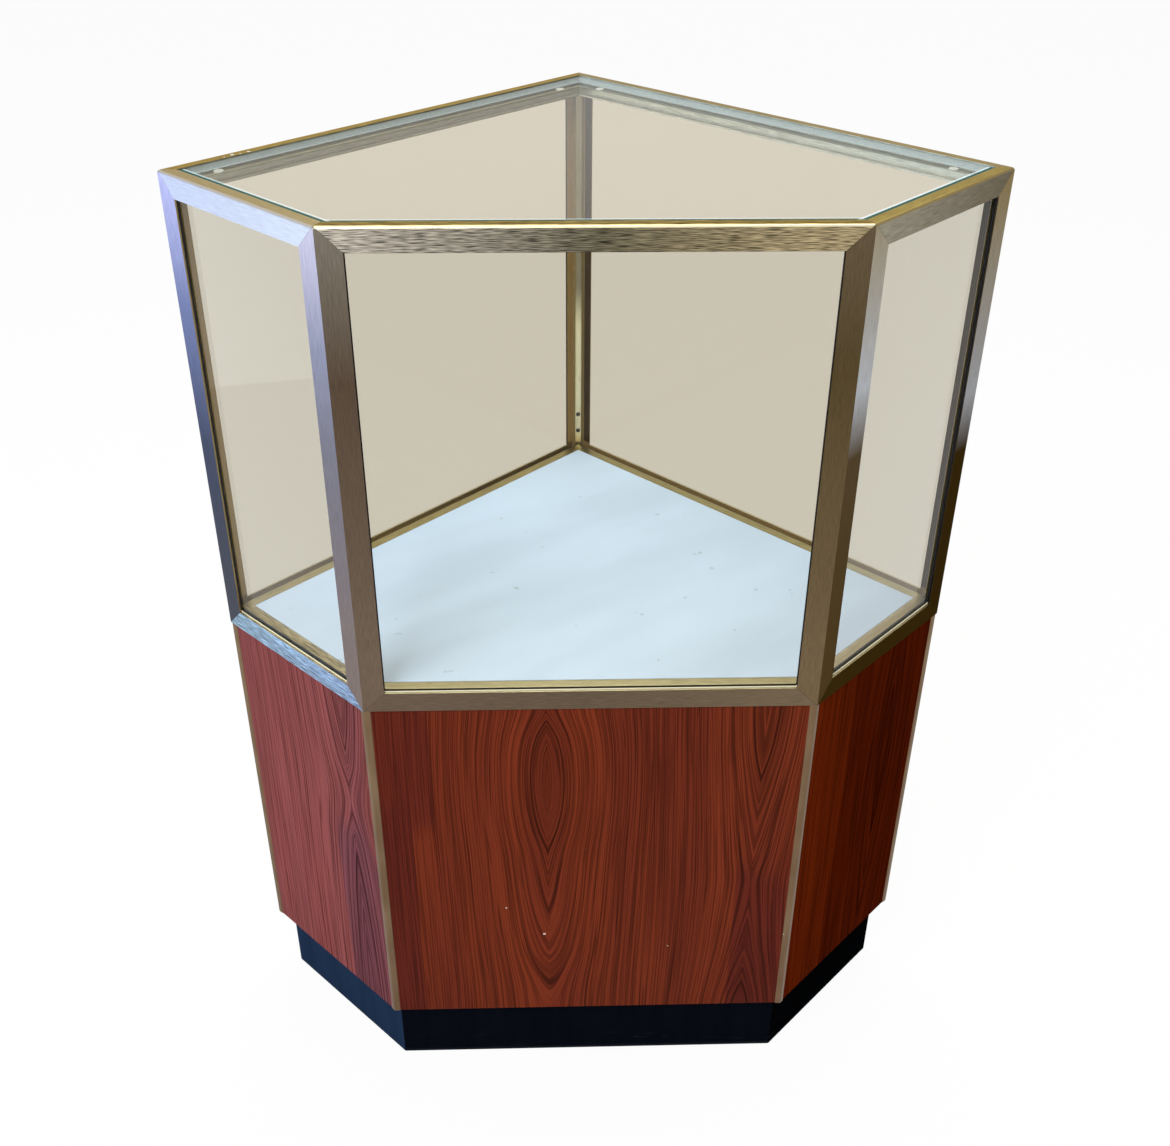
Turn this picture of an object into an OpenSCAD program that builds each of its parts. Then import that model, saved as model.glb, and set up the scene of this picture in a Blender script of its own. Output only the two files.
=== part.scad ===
// Corner showcase: a glazed aluminium frame on a panelled wooden base.
// In plan it is a square with its front corner cut off at 45 degrees, so that it fills the
// outer corner between two straight counters. Plan sides run anticlockwise from the front,
// and corner i is where side i starts. Each side has its own s (along) and n (inwards) axes.

/* [Footprint] */
// Length of each rear side, where the end of a straight counter butts
side_long = 517; // [440:1:620]
// Length of each short outer side, between a rear side and the slanted front
side_short = 215; // [160:5:280]

/* [Heights] */
// Floor to the top of the frame
total_h = 965; // [860:5:1080]
// Floor to the underside of the glazed frame
frame_z = 502; // [400:1:600]
// Height of the toe kick
kick_h = 83; // [60:1:120]

/* [Frame profiles] */
// Visible width of every rail face and post leg
face_w = 21; // [19:0.5:24]
// Wall thickness of the extrusions
wall = 2; // [1.6:0.1:2.2]
// Width of the flat ledge round the glass top
ledge_w = 11.5; // [10.5:0.5:14]
// Depth of the rebate that the glass top lies in
rebate_h = 8.3; // [7.8:0.1:9]
// How far the support shelf under the glass top reaches inwards
shelf_reach = 25; // [23:0.5:28]
// Drop of the lip at the inner edge of the support shelf
lip_h = 5; // [4:0.5:7]
// Inward reach of the foot along the bottom of that lip
foot_w = 5; // [3:0.5:6]
// Width and height of the bead along the inner edge of the shelf
bead = 1; // [0.6:0.1:1.2]
// Radius of the outer edge along the top of the frame
edge_r = 3; // [1:0.5:3.5]
// Height of the glazing groove floor above the underside of the bottom rail
groove_z = 12; // [11:0.5:13]
// How far the bottom rail covers inwards, up to the edge of the deck
deck_edge = 19; // [18:0.5:22]
// Inward reach of the flange that carries the deck
flange_reach = 34; // [31:0.5:38]
// Depth of the key chamber in a right-angled post, measured along the bisector
chamber_sq = 5; // [4.5:0.1:5.4]
// Depth of the key chamber in an obtuse post
chamber_ob = 3; // [2.6:0.1:3.2]
// Thickness of the slanted web that closes the key chamber
web_t = 1.5; // [1.2:0.1:1.8]
// Gap at each mitre between two rails, panels or boards, from each to the mitre plane
mitre_gap = 0.15; // [0.05:0.05:0.3]
// Gap between the face of a rail and the leg of a post
post_gap = 0.22; // [0.18:0.02:0.4]

/* [Glass] */
// Thickness of the upright panes
pane_t = 5; // [4:0.5:5.4]
// Distance from an outer corner to the upright edge of a pane
pane_edge = 12.5; // [11.5:0.5:14]
// Gap above the panes
pane_top_gap = 1; // [0.6:0.1:1.5]
// Gap between a pane and the inner wall of its groove
pane_play = 0.6; // [0.3:0.1:0.8]
// Thickness of the glass top
top_t = 6; // [5:0.5:6.2]
// Gap all round the glass top
top_gap = 1.5; // [1:0.25:2.5]
// Height of the clear bumpers under the glass top
bumper_h = 1.5; // [1.2:0.1:1.6]
// Gap between the bumpers and the glass top that rests on them
seat_gap = 0.1; // [0.05:0.05:0.3]
// Diameter of the clear bumpers
bumper_d = 9; // [7:0.5:10]
// Distance of a bumper from the next outer corner, along the rail
bumper_s = 48; // [40:1:60]
// Thickness of the glazing tape outside each pane
tape_t = 1; // [0.8:0.1:1.2]
// How far the glazing tape shows past the frame, as a thin black line round each pane
tape_show = 0.8; // [0.2:0.1:1.4]
// Distance from the edge of a pane to the tape
tape_edge = 0.6; // [0.5:0.1:1]
// Length of a setting block
block_l = 25; // [20:1:40]
// Height of a setting block
block_h = 2; // [1.5:0.1:2.5]

/* [Corner keys] */
// Length of the key legs, measured from the outer corner
key_leg = 42; // [35:1:60]
// Length of the key tongue in the post
key_tongue = 62; // [60:1:80]
// Gap between a key and the extrusions
key_gap = 0.2; // [0.1:0.05:0.3]
// Shank diameter of the key screws
key_screw_d = 2.6; // [2.4:0.1:2.8]
// Head diameter of the key screws
key_head_d = 5; // [4.6:0.1:5.4]
// Head height of the key screws
key_head_h = 1.4; // [1:0.1:1.8]
// Height of the lower key screw above the underside of the frame
key_screw_low = 38; // [34:1:42]
// Distance between the two key screws of a post
key_screw_pitch = 22; // [16:1:26]

/* [Base] */
// Thickness of the deck board
deck_t = 18; // [16:0.5:19]
// Gap round the deck board
deck_gap = 0.4; // [0.2:0.1:0.8]
// Set-back of the side panels from the face of the frame
panel_setback = 2; // [1.8:0.1:3]
// Thickness of the side panels
panel_t = 16; // [15:0.5:18]
// Width of each leg of the corner trims
trim_w = 5.5; // [4:0.5:12]
// Thickness of the corner trims
trim_t = 1.2; // [1:0.1:1.5]
// Height of the cleats under the frame
cleat_h = 22; // [18:1:30]
// Thickness of the cleats
cleat_t = 20; // [18:1:24]
// Length of the legs of the glue blocks in the corners
glue_leg = 34; // [24:1:44]
// Thickness of the base floor
floor_t = 16; // [15:0.5:18]
// Gap between the base floor and the side panels
floor_gap = 0.3; // [0.2:0.1:0.6]
// Set-back of the toe kick from the face of the frame
kick_setback = 13; // [11:0.5:17]
// Thickness of the toe kick boards
kick_t = 16; // [15:0.5:18]

/* [Frame screws] */
// Shank diameter of the screws between base, frame and deck
screw_d = 4; // [3.5:0.1:4.5]
// Head diameter of those screws
screw_head_d = 8; // [7:0.5:9]
// Head height of those screws
screw_head_h = 2.6; // [2:0.1:3]
// Depth of those screws in the deck
screw_bite = 12; // [8:1:13]
// Distance of those screws from the face of the frame
screw_setback = 28; // [27.5:0.1:29]
// Distance of those screws from the corners, along the side
screw_s = 62; // [55:1:70]
// Radial gap round the shank of every screw
screw_play = 0.1; // [0.05:0.05:0.2]

/* [Hidden] */

// Sides, and the corners where they start
FRONT = 0;
RIGHT = 1;
REAR_RIGHT = 2;
REAR_LEFT = 3;
LEFT = 4;
AT_FRONT_LEFT = 0;
AT_FRONT_RIGHT = 1;
AT_RIGHT = 2;
AT_REAR = 3;
AT_LEFT = 4;

diag = 1 / sqrt(2); // a step of one along a rear side, seen along X or Y
half_front = (side_long - side_short) * diag; // half the width of the slanted front
half_depth = (side_long + side_short) * diag / 2; // half the depth, front to rear corner
side_y = half_depth - side_long * diag; // where the left and right corners are
CORNERS = [
    [-half_front, -half_depth],
    [half_front, -half_depth],
    [side_long * diag, side_y],
    [0, half_depth],
    [-side_long * diag, side_y]
];
SIDES = [FRONT, RIGHT, REAR_RIGHT, REAR_LEFT, LEFT];

eps = 1; // how far a cutter reaches past what it cuts
chamber_n = ledge_w - wall; // inner limit of the top rail's key chamber
shelf_under = rebate_h + wall; // depth of the underside of that shelf
pane_n = wall + tape_t; // outer face of the panes
groove_n = pane_n + pane_t + pane_play; // inner wall of the glazing groove
lip_bottom = shelf_under + lip_h; // depth of the foot's underside
rail_top_n = shelf_reach + foot_w; // whole inward reach of a top rail
pane_low = frame_z + groove_z + block_h; // lower edge of the panes
pane_high = total_h - shelf_under - pane_top_gap; // upper edge of the panes
key_bottom_roof = groove_z - wall; // top of the bottom rail's key chamber
panel_in = panel_setback + panel_t; // inner face of the side panels

// Plan geometry ------------------------------------------------------------

function corner(i) = CORNERS[(i + 5) % 5];
function side_len(i) = norm(corner(i + 1) - corner(i));
function side_dir(i) = (corner(i + 1) - corner(i)) / side_len(i);
function inward(i) = [-side_dir(i)[1], side_dir(i)[0]];
// Half of the inside angle at corner i
function half_angle(i) = (180 - acos(side_dir(i - 1) * side_dir(i))) / 2;
function cot(a) = 1 / tan(a);
// Where the mitre at corner i is, along the side, at a distance n inwards
function mitre_s(i, n) = n * cot(half_angle(i));
// A plan point beside corner i, along the side that starts there
function after(i, s, n) = corner(i) + s * side_dir(i) + n * inward(i);
// The same point, mirrored to the side that ends there
function before(i, s, n) = corner(i) - s * side_dir(i - 1) + n * inward(i - 1);
// The footprint, drawn in by n on every side
function inset(n) = [for (i = SIDES) after(i, mitre_s(i, n), n)];
// Unit vector from corner i into the case, along the bisector
function bisector(i) = (side_dir(i) - side_dir(i - 1)) / norm(side_dir(i) - side_dir(i - 1));
// Where a line across the corner, at the distance c along the bisector, crosses the depth n
function across_s(i, c, n) = (c - n * sin(half_angle(i))) / cos(half_angle(i));
function is_square(i) = half_angle(i) < 50;
// Distance along the bisector to the outer and inner faces of a post's web
function web_out(i) = wall / sin(half_angle(i)) + (is_square(i) ? chamber_sq : chamber_ob);
function web_in(i) = web_out(i) + web_t;

// Puts a child drawn in s, n and z beside side i
module beside(i) {
    translate([corner(i)[0], corner(i)[1], 0])
        rotate([0, 0, atan2(side_dir(i)[1], side_dir(i)[0])])
            children();
}

// A solid of the given plan between two heights
module plate(points, z0, z1) {
    translate([0, 0, z0])
        linear_extrude(height = z1 - z0)
            polygon(points);
}

// A bar along side i with the section [n, z] and a mitre at both ends
module mitred_bar(i, section, depth, z0, z1) {
    length = side_len(i);
    beside(i)
        intersection() {
            translate([-eps, 0, 0])
                rotate([90, 0, 90])
                    linear_extrude(height = length + 2 * eps)
                        polygon(section);
            plate([
                [mitre_s(i, -eps) + mitre_gap, -eps],
                [length - mitre_s(i + 1, -eps) - mitre_gap, -eps],
                [length - mitre_s(i + 1, depth + eps) - mitre_gap, depth + eps],
                [mitre_s(i, depth + eps) + mitre_gap, depth + eps]
            ], z0 - eps, z1 + eps);
        }
}

// A board along side i, mitred at both ends
module mitred_board(i, n, thickness, z0, z1) {
    n1 = n + thickness;
    length = side_len(i);
    beside(i)
        plate([
            [mitre_s(i, n) + mitre_gap, n],
            [length - mitre_s(i + 1, n) - mitre_gap, n],
            [length - mitre_s(i + 1, n1) - mitre_gap, n1],
            [mitre_s(i, n1) + mitre_gap, n1]
        ], z0, z1);
}

// What a rail's face loses to the posts at its two ends: a 45 degree mitre in the face plane,
// as deep as the wall. edge_z is the rail's outer edge and up is 1 where the rail lies above it.
module face_mitres(i, edge_z, up) {
    reach = face_w + eps;
    beside(i)
        for (start = [true, false])
            translate([start ? 0 : side_len(i), wall, edge_z])
                mirror([start ? 0 : 1, 0, 0])
                    rotate([90, 0, 0])
                        linear_extrude(height = wall + eps)
                            polygon([
                                [-eps, -eps * up],
                                [post_gap - eps, -eps * up],
                                [reach + post_gap, reach * up],
                                [-eps, reach * up]
                            ]);
}

// What the rounding of the frame's upper outer edge takes off along side i
module edge_round(i) {
    beside(i)
        translate([-eps, 0, total_h - edge_r])
            rotate([90, 0, 90])
                linear_extrude(height = side_len(i) + 2 * eps)
                    difference() {
                        translate([-eps, 0])
                            square(edge_r + eps);
                        translate([edge_r, 0])
                            circle(r = edge_r, $fn = 64);
                    }
}

// Plan of the key chamber in the post at corner i, drawn in by gap
function chamber_plan(i, gap) = [
    after(i, mitre_s(i, wall + gap), wall + gap),
    after(i, across_s(i, web_out(i) - gap, wall + gap), wall + gap),
    before(i, across_s(i, web_out(i) - gap, wall + gap), wall + gap)
];

// Frame ---------------------------------------------------------------------

module top_rail(i) {
    color([0.62, 0.54, 0.40])
        difference() {
            mitred_bar(i, [
                [0, total_h],
                [0, total_h - face_w],
                [wall, total_h - face_w],
                [wall, total_h - shelf_under],
                [groove_n, total_h - shelf_under],
                [groove_n, total_h - lip_bottom],
                [groove_n + wall, total_h - lip_bottom],
                [groove_n + wall, total_h - shelf_under],
                [shelf_reach - wall, total_h - shelf_under],
                [shelf_reach - wall, total_h - lip_bottom],
                [rail_top_n, total_h - lip_bottom],
                [rail_top_n, total_h - lip_bottom + web_t],
                [shelf_reach, total_h - lip_bottom + web_t],
                [shelf_reach, total_h - rebate_h + bead],
                [shelf_reach - bead, total_h - rebate_h + bead],
                [shelf_reach - bead, total_h - rebate_h],
                [ledge_w, total_h - rebate_h],
                [ledge_w, total_h]
            ], rail_top_n, total_h - face_w, total_h);
            mitred_bar(i, [
                [wall, total_h - wall],
                [wall, total_h - rebate_h],
                [chamber_n, total_h - rebate_h],
                [chamber_n, total_h - wall]
            ], rail_top_n + eps, total_h - rebate_h, total_h);
            face_mitres(i, total_h, -1);
            edge_round(i);
            for (k = [i, i + 1])
                plate(chamber_plan(k, 0), total_h - shelf_under - eps, total_h - rebate_h + eps);
        }
}

module bottom_rail(i) {
    deck_top = wall + deck_t;
    color([0.62, 0.54, 0.40])
        difference() {
            mitred_bar(i, [
                [0, frame_z],
                [0, frame_z + face_w],
                [wall, frame_z + face_w],
                [wall, frame_z + groove_z],
                [groove_n, frame_z + groove_z],
                [groove_n, frame_z + deck_top],
                [deck_edge, frame_z + deck_top],
                [deck_edge, frame_z + wall],
                [flange_reach, frame_z + wall],
                [flange_reach, frame_z]
            ], flange_reach, frame_z, frame_z + face_w);
            mitred_bar(i, [
                [wall, frame_z + wall],
                [wall, frame_z + key_bottom_roof],
                [groove_n, frame_z + key_bottom_roof],
                [groove_n, frame_z + wall]
            ], flange_reach + eps, frame_z, frame_z + face_w);
            mitred_bar(i, [
                [groove_n + wall, frame_z + wall],
                [groove_n + wall, frame_z + deck_top - wall],
                [deck_edge - wall, frame_z + deck_top - wall],
                [deck_edge - wall, frame_z + wall]
            ], flange_reach + eps, frame_z, frame_z + face_w);
            face_mitres(i, frame_z, 1);
            for (k = [i, i + 1])
                plate(chamber_plan(k, 0), frame_z + key_bottom_roof - eps, frame_z + groove_z + eps);
            frame_screw_holes(i, frame_z - eps, frame_z + wall + eps);
        }
}

// Plan of the two legs of the post at corner i
function legs_plan(i) = [
    corner(i),
    after(i, face_w, 0),
    after(i, face_w, wall),
    after(i, mitre_s(i, wall), wall),
    before(i, face_w, wall),
    before(i, face_w, 0)
];

// What the 45 degree ends take off a post leg that starts at s = 0
module leg_mitres() {
    reach = face_w + eps;
    translate([0, wall, 0])
        rotate([90, 0, 0])
            linear_extrude(height = wall + eps) {
                polygon([
                    [-eps, total_h + eps],
                    [reach, total_h - reach],
                    [reach, total_h + eps]
                ]);
                polygon([
                    [-eps, frame_z - eps],
                    [reach, frame_z - eps],
                    [reach, frame_z + reach]
                ]);
            }
}

module post(i) {
    root_n = wall / 2; // the web is rooted this deep in the legs
    color([0.50, 0.44, 0.36])
        difference() {
            union() {
                plate(legs_plan(i), frame_z, total_h);
                plate([
                    after(i, across_s(i, web_out(i), root_n), root_n),
                    after(i, across_s(i, web_in(i), root_n), root_n),
                    before(i, across_s(i, web_in(i), root_n), root_n),
                    before(i, across_s(i, web_out(i), root_n), root_n)
                ], frame_z + groove_z + mitre_gap, total_h - shelf_under - mitre_gap);
            }
            beside(i)
                leg_mitres();
            beside(i - 1)
                translate([side_len(i - 1), 0, 0])
                    mirror([1, 0, 0])
                        leg_mitres();
            for (k = [i, i - 1])
                edge_round(k);
            for (z = key_screw_heights())
                on_bisector(i, web_out(i) - eps, z)
                    cylinder(h = web_t + 2 * eps, d = key_screw_d + 2 * screw_play, $fn = 48);
        }
}

// Glass ---------------------------------------------------------------------

module pane(i) {
    color([0.80, 0.90, 0.86, 0.35])
        beside(i)
            translate([pane_edge, pane_n, pane_low])
                cube([side_len(i) - 2 * pane_edge, pane_t, pane_high - pane_low]);
}

// Four strips of tape between a pane and the frame's outer faces
module glazing_tape(i) {
    s0 = pane_edge + tape_edge;
    s1 = face_w + tape_show;
    length = side_len(i);
    low = [pane_low + tape_edge, frame_z + face_w + tape_show];
    high = [total_h - face_w - tape_show, pane_high - tape_edge];
    color([0.04, 0.04, 0.05])
        beside(i)
            translate([0, wall, 0]) {
                for (s = [s0, length - s1])
                    translate([s, 0, low[0]])
                        cube([s1 - s0, tape_t, high[1] - low[0]]);
                for (z = [low, high])
                    translate([s1 + mitre_gap, 0, z[0]])
                        cube([length - 2 * (s1 + mitre_gap), tape_t, z[1] - z[0]]);
            }
}

module glass_top() {
    z = total_h - rebate_h + bumper_h + seat_gap;
    color([0.80, 0.92, 0.88, 0.35])
        plate(inset(ledge_w + top_gap), z, z + top_t);
}

// Round clear pads on the support shelf, one beside each end of every rail
module glass_bumpers() {
    n = (ledge_w + shelf_reach) / 2;
    color([0.92, 0.93, 0.92, 0.6])
        for (i = SIDES)
            beside(i)
                for (s = [bumper_s, side_len(i) - bumper_s])
                    translate([s, n, total_h - rebate_h])
                        cylinder(h = bumper_h, d = bumper_d, $fn = 48);
}

// Two blocks under each pane
module setting_blocks() {
    color([0.10, 0.10, 0.10])
        for (i = SIDES)
            beside(i)
                for (share = [1 / 4, 3 / 4])
                    translate([side_len(i) * share - block_l / 2, pane_n, frame_z + groove_z])
                        cube([block_l, pane_t, block_h]);
}

// Corner keys ---------------------------------------------------------------

// Plan of the two key legs at corner i, in chambers between the wall and n1
function key_plan(i, n1) = [
    after(i, mitre_s(i, wall + key_gap), wall + key_gap),
    after(i, key_leg, wall + key_gap),
    after(i, key_leg, n1 - key_gap),
    after(i, mitre_s(i, n1 - key_gap), n1 - key_gap),
    before(i, key_leg, n1 - key_gap),
    before(i, key_leg, wall + key_gap)
];

// Puts a child's Z axis on the bisector of corner i, pointing into the case
module on_bisector(i, distance, z) {
    p = corner(i) + distance * bisector(i);
    translate([p[0], p[1], z])
        rotate([0, 90, atan2(bisector(i)[1], bisector(i)[0])])
            children();
}

function key_screw_heights() = [frame_z + key_screw_low, frame_z + key_screw_low + key_screw_pitch];

module corner_keys_top() {
    z1 = total_h - wall - key_gap;
    z0 = total_h - rebate_h + key_gap;
    color([0.70, 0.70, 0.70])
        for (i = SIDES) {
            plate(key_plan(i, chamber_n), z0, z1);
            plate(chamber_plan(i, key_gap), z1 - key_tongue, z1);
        }
}

module corner_keys_bottom() {
    z0 = frame_z + wall + key_gap;
    z1 = frame_z + key_bottom_roof - key_gap;
    color([0.70, 0.70, 0.70])
        for (i = SIDES)
            difference() {
                union() {
                    plate(key_plan(i, groove_n), z0, z1);
                    plate(chamber_plan(i, key_gap), z0, z0 + key_tongue);
                }
                for (z = key_screw_heights())
                    on_bisector(i, wall, z)
                        cylinder(h = web_in(i), d = key_screw_d + 2 * screw_play, $fn = 48);
            }
}

// Two screws through each post's web into the tongue of its lower key
module key_screws() {
    color([0.16, 0.15, 0.14])
        for (i = SIDES) {
            // the tip stops where the legs close in on the shank
            tip = wall / sin(half_angle(i)) + (key_screw_d / 2 + key_gap) * cot(half_angle(i));
            for (z = key_screw_heights()) {
                on_bisector(i, tip, z)
                    cylinder(h = web_in(i) + key_head_h / 2 - tip, d = key_screw_d, $fn = 48);
                on_bisector(i, web_in(i), z)
                    cylinder(h = key_head_h, d = key_head_d, $fn = 48);
            }
        }
}

// Base ----------------------------------------------------------------------

// Where the frame screws of side i are, along the side
function frame_screw_s(i) = [screw_s, side_len(i) - screw_s];

module frame_screw_holes(i, z0, z1) {
    beside(i)
        for (s = frame_screw_s(i))
            translate([s, screw_setback, z0])
                cylinder(h = z1 - z0, d = screw_d + 2 * screw_play, $fn = 48);
}

module deck_board() {
    z = frame_z + wall;
    color([0.80, 0.87, 0.90])
        difference() {
            plate(inset(deck_edge + deck_gap), z, z + deck_t);
            for (i = SIDES)
                frame_screw_holes(i, z - eps, z + screw_bite + eps);
        }
}

// Screws from below, through the cleats and the rails' flanges into the deck
module frame_screws() {
    z = frame_z - cleat_h;
    color([0.65, 0.65, 0.66])
        for (i = SIDES)
            beside(i)
                for (s = frame_screw_s(i))
                    translate([s, screw_setback, 0]) {
                        translate([0, 0, z - screw_head_h / 2])
                            cylinder(
                                h = screw_head_h / 2 + cleat_h + wall + screw_bite,
                                d = screw_d,
                                $fn = 48
                            );
                        translate([0, 0, z - screw_head_h])
                            cylinder(h = screw_head_h, d = screw_head_d, $fn = 48);
                    }
}

module top_cleats() {
    color([0.72, 0.56, 0.36])
        for (i = SIDES)
            difference() {
                mitred_board(i, panel_in, cleat_t, frame_z - cleat_h, frame_z);
                frame_screw_holes(i, frame_z - cleat_h - eps, frame_z + eps);
            }
}

// Plan of a three-cornered glue block in corner i, against faces at the depth n
function glue_plan(i, n) = [
    after(i, mitre_s(i, n), n),
    after(i, mitre_s(i, n) + glue_leg, n),
    before(i, mitre_s(i, n) + glue_leg, n)
];

module corner_blocks() {
    color([0.72, 0.56, 0.36])
        for (i = SIDES)
            plate(glue_plan(i, panel_in), kick_h + floor_t, frame_z - cleat_h);
}

module base_floor() {
    color([0.66, 0.52, 0.36])
        plate(inset(panel_in + floor_gap), kick_h, kick_h + floor_t);
}

module base_panel(i) {
    color([0.42, 0.16, 0.09])
        mitred_board(i, panel_setback, panel_t, kick_h, frame_z);
}

module corner_trim(i) {
    n = panel_setback - trim_t;
    s = mitre_s(i, n) + trim_w;
    color([0.58, 0.48, 0.32])
        plate([
            after(i, mitre_s(i, n), n),
            after(i, s, n),
            after(i, s, panel_setback),
            after(i, mitre_s(i, panel_setback), panel_setback),
            before(i, s, panel_setback),
            before(i, s, n)
        ], kick_h, frame_z);
}

module kick_board(i) {
    color([0.03, 0.04, 0.06])
        mitred_board(i, kick_setback, kick_t, 0, kick_h);
}

module kick_blocks() {
    color([0.72, 0.56, 0.36])
        for (i = SIDES)
            plate(glue_plan(i, kick_setback + kick_t), 0, kick_h);
}

top_rail(FRONT);  // top_rail_front
top_rail(RIGHT);  // top_rail_right
top_rail(REAR_RIGHT);  // top_rail_rear_right
top_rail(REAR_LEFT);  // top_rail_rear_left
top_rail(LEFT);  // top_rail_left
bottom_rail(FRONT);  // bottom_rail_front
bottom_rail(RIGHT);  // bottom_rail_right
bottom_rail(REAR_RIGHT);  // bottom_rail_rear_right
bottom_rail(REAR_LEFT);  // bottom_rail_rear_left
bottom_rail(LEFT);  // bottom_rail_left
post(AT_FRONT_LEFT);  // post_front_left
post(AT_FRONT_RIGHT);  // post_front_right
post(AT_RIGHT);  // post_right
post(AT_REAR);  // post_rear
post(AT_LEFT);  // post_left
pane(FRONT);  // pane_front
pane(RIGHT);  // pane_right
pane(REAR_RIGHT);  // pane_rear_right
pane(REAR_LEFT);  // pane_rear_left
pane(LEFT);  // pane_left
glazing_tape(FRONT);  // glazing_tape_front
glazing_tape(RIGHT);  // glazing_tape_right
glazing_tape(REAR_RIGHT);  // glazing_tape_rear_right
glazing_tape(REAR_LEFT);  // glazing_tape_rear_left
glazing_tape(LEFT);  // glazing_tape_left
glass_top();
glass_bumpers();
setting_blocks();
corner_keys_top();
corner_keys_bottom();
key_screws();
deck_board();
frame_screws();
top_cleats();
corner_blocks();
base_floor();
base_panel(FRONT);  // base_panel_front
base_panel(RIGHT);  // base_panel_right
base_panel(REAR_RIGHT);  // base_panel_rear_right
base_panel(REAR_LEFT);  // base_panel_rear_left
base_panel(LEFT);  // base_panel_left
corner_trim(AT_FRONT_LEFT);  // corner_trim_front_left
corner_trim(AT_FRONT_RIGHT);  // corner_trim_front_right
corner_trim(AT_RIGHT);  // corner_trim_right
corner_trim(AT_REAR);  // corner_trim_rear
corner_trim(AT_LEFT);  // corner_trim_left
kick_board(FRONT);  // kick_front
kick_board(RIGHT);  // kick_right
kick_board(REAR_RIGHT);  // kick_rear_right
kick_board(REAR_LEFT);  // kick_rear_left
kick_board(LEFT);  // kick_left
kick_blocks();
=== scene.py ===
"""Corner showcase: finishes, small hardware, floor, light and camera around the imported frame."""

import math

import bpy
import numpy as np
from mathutils import Matrix, Vector


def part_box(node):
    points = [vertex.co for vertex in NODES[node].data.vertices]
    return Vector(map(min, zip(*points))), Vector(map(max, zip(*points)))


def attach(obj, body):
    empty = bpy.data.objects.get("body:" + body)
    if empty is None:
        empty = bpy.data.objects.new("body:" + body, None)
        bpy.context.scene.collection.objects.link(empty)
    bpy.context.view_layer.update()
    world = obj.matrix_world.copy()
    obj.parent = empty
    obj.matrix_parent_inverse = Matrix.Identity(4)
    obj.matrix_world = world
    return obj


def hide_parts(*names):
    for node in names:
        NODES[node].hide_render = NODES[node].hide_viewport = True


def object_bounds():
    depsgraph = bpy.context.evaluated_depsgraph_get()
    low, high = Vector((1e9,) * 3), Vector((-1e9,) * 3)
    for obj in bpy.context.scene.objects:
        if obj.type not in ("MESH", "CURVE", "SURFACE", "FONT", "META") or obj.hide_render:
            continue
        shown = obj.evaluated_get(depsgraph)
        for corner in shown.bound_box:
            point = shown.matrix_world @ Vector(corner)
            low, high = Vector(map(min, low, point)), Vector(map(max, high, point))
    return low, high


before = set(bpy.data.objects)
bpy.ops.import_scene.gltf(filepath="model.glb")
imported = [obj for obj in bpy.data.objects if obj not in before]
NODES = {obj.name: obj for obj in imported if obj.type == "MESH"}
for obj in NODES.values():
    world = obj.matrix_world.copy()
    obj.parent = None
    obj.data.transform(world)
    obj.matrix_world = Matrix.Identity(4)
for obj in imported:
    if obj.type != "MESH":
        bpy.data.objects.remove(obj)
cad_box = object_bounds()

# Plan of the case, in metres ------------------------------------------------

SIDE_NAMES = ["front", "right", "rear_right", "rear_left", "left"]
CORNER_NAMES = ["front_left", "front_right", "right", "rear", "left"]
low, high = cad_box
side_y = sum(corner.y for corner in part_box("post_right")) / 2
half_front = high.x - (side_y - low.y)
CORNERS = np.array([
    (-half_front, low.y),
    (half_front, low.y),
    (high.x, side_y),
    (0.0, high.y),
    (-high.x, side_y),
])
ALONG = np.roll(CORNERS, -1, axis=0) - CORNERS
LENGTHS = np.linalg.norm(ALONG, axis=1)
ALONG /= LENGTHS[:, None]
INWARD = np.stack([-ALONG[:, 1], ALONG[:, 0]], axis=1)
MM = 0.001

frame_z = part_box("bottom_rail_front")[0].z
total_h = high.z
kick_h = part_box("kick_front")[1].z


def plan_point(corner, s, n):
    """Plan point s along the side that starts at a corner and n inwards from it."""
    return CORNERS[corner] + s * ALONG[corner] + n * INWARD[corner]


def level(direction):
    """A direction in plan as a level vector."""
    return (float(direction[0]), float(direction[1]), 0.0)


def panel_share(z):
    """Height, a number or a shader value, as a share of the base panels: 0 at their foot, 1 at the top."""
    return (z - kick_h) / (frame_z - kick_h)


def placed(name, data):
    """A new object of the scene."""
    made = bpy.data.objects.new(name, data)
    bpy.context.scene.collection.objects.link(made)
    return made


# Shader expressions ---------------------------------------------------------


class Value:
    """A shader socket. Arithmetic on it adds a Math node to its finish."""

    def __init__(self, finish, socket):
        self.finish = finish
        self.socket = socket

    def math(self, operation, first, second=0.0):
        return self.finish.add("ShaderNodeMath", {"operation": operation}, {0: first, 1: second})

    def __add__(self, other):
        return self.math("ADD", self, other)

    def __radd__(self, other):
        return self.math("ADD", other, self)

    def __sub__(self, other):
        return self.math("SUBTRACT", self, other)

    def __rsub__(self, other):
        return self.math("SUBTRACT", other, self)

    def __mul__(self, other):
        return self.math("MULTIPLY", self, other)

    def __rmul__(self, other):
        return self.math("MULTIPLY", other, self)

    def __truediv__(self, other):
        return self.math("DIVIDE", self, other)

    def __pow__(self, other):
        return self.math("POWER", self, other)

    def __abs__(self):
        return self.math("ABSOLUTE", self)

    def exponent(self):
        return self.math("EXPONENT", self)

    def most(self, other):
        return self.math("MAXIMUM", self, other)

    def least(self, other):
        return self.math("MINIMUM", self, other)


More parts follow.
